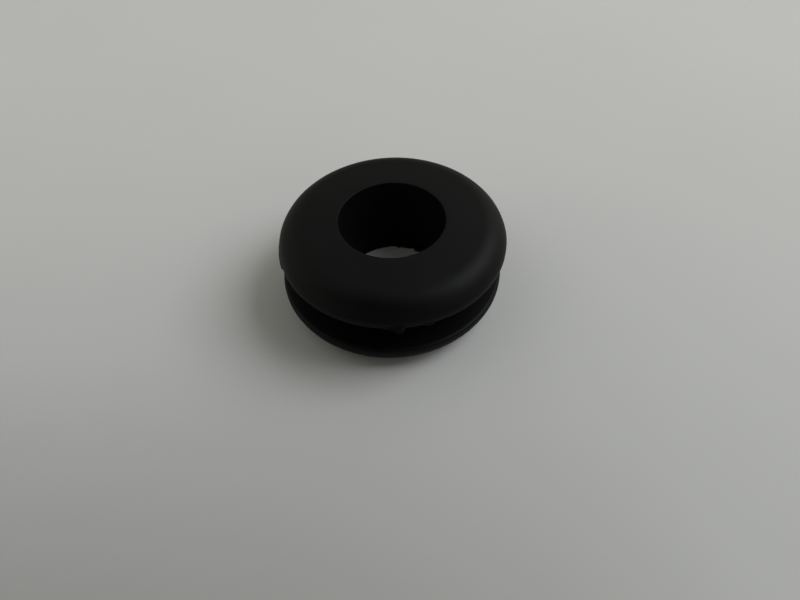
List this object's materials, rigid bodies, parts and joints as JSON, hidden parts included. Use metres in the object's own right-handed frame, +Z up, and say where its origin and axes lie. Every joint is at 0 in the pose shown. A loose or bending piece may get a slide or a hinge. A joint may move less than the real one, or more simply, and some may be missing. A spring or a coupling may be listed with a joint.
{
  "type": "rubber grommet",
  "caption": "Round moulded black rubber grommet with two equal domed flanges, a groove between them for a panel's edge, and a straight hole through the middle for a cable.",
  "frame": {"origin": "on the grommet's axis, at the foot of the cable hole, level with the surface that the lower flange stands on", "axes": "+Z up along the axis of the hole, from the lower flange to the upper flange; the part is round about Z, and the torn tag of flash on the upper flange's edge points to about -Y"},
  "size_m": [0.0201, 0.0205, 0.0082],
  "materials": {
    "moulded_rubber": "satin, as moulded"
  },
  "bodies": {
    "root": {"grommet": "moulded_rubber"}
  },
  "joints": []
}
